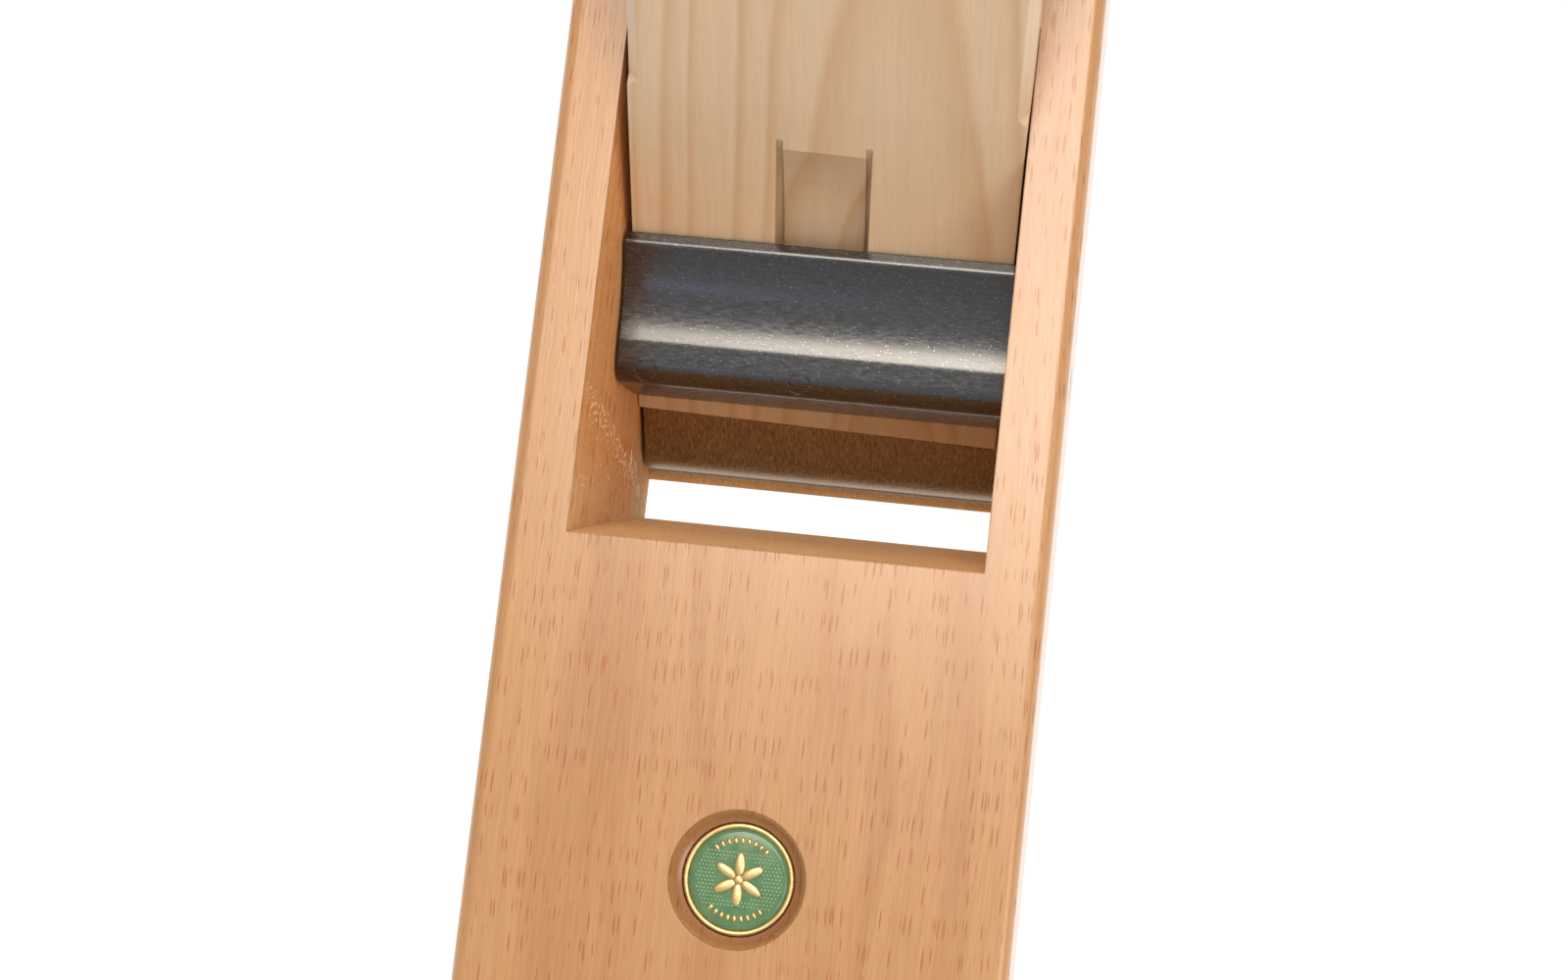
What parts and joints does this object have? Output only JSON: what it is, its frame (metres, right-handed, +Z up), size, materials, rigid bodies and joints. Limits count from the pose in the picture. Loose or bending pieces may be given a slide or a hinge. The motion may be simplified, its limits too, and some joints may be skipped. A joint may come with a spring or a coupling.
{
  "type": "wooden jointer plane",
  "caption": "Long wooden bench plane with a full-width throat, double iron held by a wedge under a pivoting metal bar, closed tote, strike button and round enamel badge.",
  "frame": {"origin": "middle of the sole, on the sole's plane", "axes": "+X along the body towards the toe, +Z up from the sole, +Y to the left side as the plane is pushed"},
  "size_m": [0.6, 0.08, 0.1642],
  "materials": {
    "stock_beech": "steamed beech, planed and oiled, satin",
    "sole_hornbeam": "hornbeam, planed and oiled",
    "tote_beech": "steamed beech, sanded and oiled, satin",
    "button_hornbeam": "turned hornbeam, oiled",
    "wedge_hornbeam": "hornbeam, sanded, oiled",
    "iron_steel": "ground tool steel",
    "breaker_steel": "ground steel, darkened",
    "screw_steel": "turned steel",
    "bar_casting": "die-cast, dark satin, with drawn streaks",
    "pin_steel": "bright drawn steel",
    "badge_brass": "pressed brass, lacquered",
    "badge_enamel": "glossy green enamel over a stippled ground"
  },
  "bodies": {
    "body": {"stock": "stock_beech", "sole": "sole_hornbeam", "tote": "tote_beech", "strike_button": "button_hornbeam", "badge_dish": "badge_brass", "badge_enamel": "badge_enamel", "abutment_pin": "pin_steel"},
    "iron": {"cutting_iron": "iron_steel"},
    "breaker": {"chip_breaker": "breaker_steel"},
    "screw": {"cap_screw": "screw_steel"},
    "wedge": {"wedge": "wedge_hornbeam"},
    "bar": {"abutment_bar": "bar_casting"}
  },
  "joints": [
    {"name": "iron_slide", "type": "slide", "parent": "body", "child": "iron", "axis": [-0.7071, 0, 0.7071], "range_m": [-0.008, 0.06]},
    {"name": "breaker_slide", "type": "slide", "parent": "iron", "child": "breaker", "axis": [-0.7071, 0, 0.7071], "range_m": [-0.0004, 0.03]},
    {"name": "screw_turn", "type": "hinge", "parent": "breaker", "child": "screw", "pos_m": [0.04661, 0, 0.04229], "axis": [-0.7071, 0, -0.7071], "range_deg": [0, 360]},
    {"name": "wedge_slide", "type": "slide", "parent": "body", "child": "wedge", "axis": [-0.7071, 0, 0.7071], "range_m": [0, 0.08]},
    {"name": "bar_rock", "type": "hinge", "parent": "body", "child": "bar", "pos_m": [0.07204, 0, 0.03809], "axis": [0, 1, 0], "range_deg": [-0.9, 0.9]}
  ]
}
